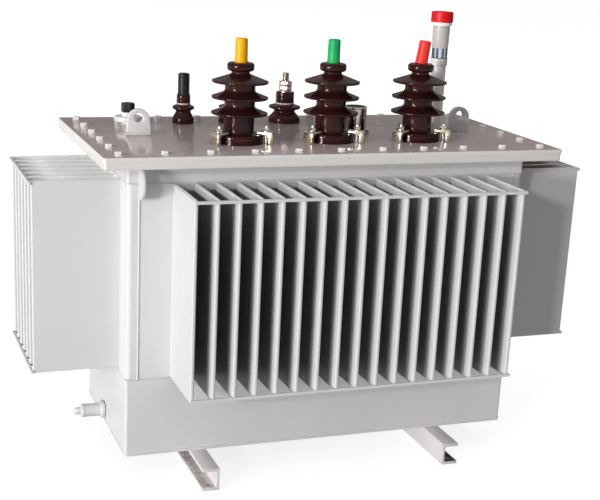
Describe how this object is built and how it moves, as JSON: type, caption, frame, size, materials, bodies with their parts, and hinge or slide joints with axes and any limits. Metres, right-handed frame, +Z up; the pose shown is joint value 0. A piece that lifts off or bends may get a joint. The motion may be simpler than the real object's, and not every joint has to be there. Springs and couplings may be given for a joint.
{
  "type": "oil-filled distribution transformer",
  "caption": "Oil-filled distribution transformer: corrugated tank on base channels, flat bolted cover with shedded porcelain bushings, oil gauge, lifting lugs and drain valve.",
  "frame": {"origin": "on the ground under the middle of the tank, at the underside of the base channels", "axes": "+X along the tank to its right end, seen from the high-voltage side; +Y from the high-voltage side to the low-voltage side; +Z up"},
  "size_m": [1.295, 0.738, 0.9945],
  "materials": {
    "tank_paint": "light warm grey satin paint",
    "cover_paint": "light grey gloss paint",
    "channel_paint": "light warm grey satin paint",
    "grey_paint": "light grey paint",
    "porcelain": "dark brown glaze",
    "yellow_cap": "yellow sleeve",
    "green_cap": "green sleeve",
    "red_cap": "red sleeve",
    "black_sleeve": "black sleeve",
    "zinc_claws": "yellow-passivated zinc",
    "tinned_stud": "tinned copper",
    "sight_glass": "clear",
    "bright_can": "bright zinc",
    "gasket": "black rubber",
    "core_steel": "dark laminated steel under oil"
  },
  "bodies": {
    "root": {"back_corrugated_wall": "tank_paint", "base_channel_left": "channel_paint", "base_channel_right": "channel_paint", "bottom_plate": "tank_paint", "core_and_windings": "core_steel", "corner_posts": "tank_paint", "cover_gasket": "gasket", "cover_plate": "cover_paint", "drain_valve": "tank_paint", "end_wall_fin_bars": "tank_paint", "flange_frame": "tank_paint", "front_corrugated_wall": "tank_paint", "hv_bushing_green": "porcelain", "hv_bushing_red": "porcelain", "hv_bushing_yellow": "porcelain", "hv_cap_green": "green_cap", "hv_cap_red": "red_cap", "hv_cap_yellow": "yellow_cap", "hv_claws_green": "zinc_claws", "hv_claws_red": "zinc_claws", "hv_claws_yellow": "zinc_claws", "lashing_ears": "tank_paint", "left_corrugated_wall": "tank_paint", "lifting_lug_left": "cover_paint", "lifting_lug_right": "cover_paint", "long_wall_fin_bars": "tank_paint", "lower_skirt": "tank_paint", "lv_bushing_1": "porcelain", "lv_bushing_2": "porcelain", "lv_bushing_3": "porcelain", "lv_bushing_neutral": "porcelain", "lv_sleeve_neutral": "black_sleeve", "lv_terminal_1": "tinned_stud", "lv_terminal_2": "tinned_stud", "lv_terminal_3": "tinned_stud", "oil_gauge_cap": "red_cap", "oil_gauge_glass": "sight_glass", "oil_gauge_head": "grey_paint", "oil_gauge_pipe": "grey_paint", "relief_valve": "bright_can", "right_corrugated_wall": "tank_paint", "thermometer_plug": "black_sleeve", "thermometer_pocket": "tank_paint", "upper_collar": "tank_paint"}
  },
  "joints": []
}
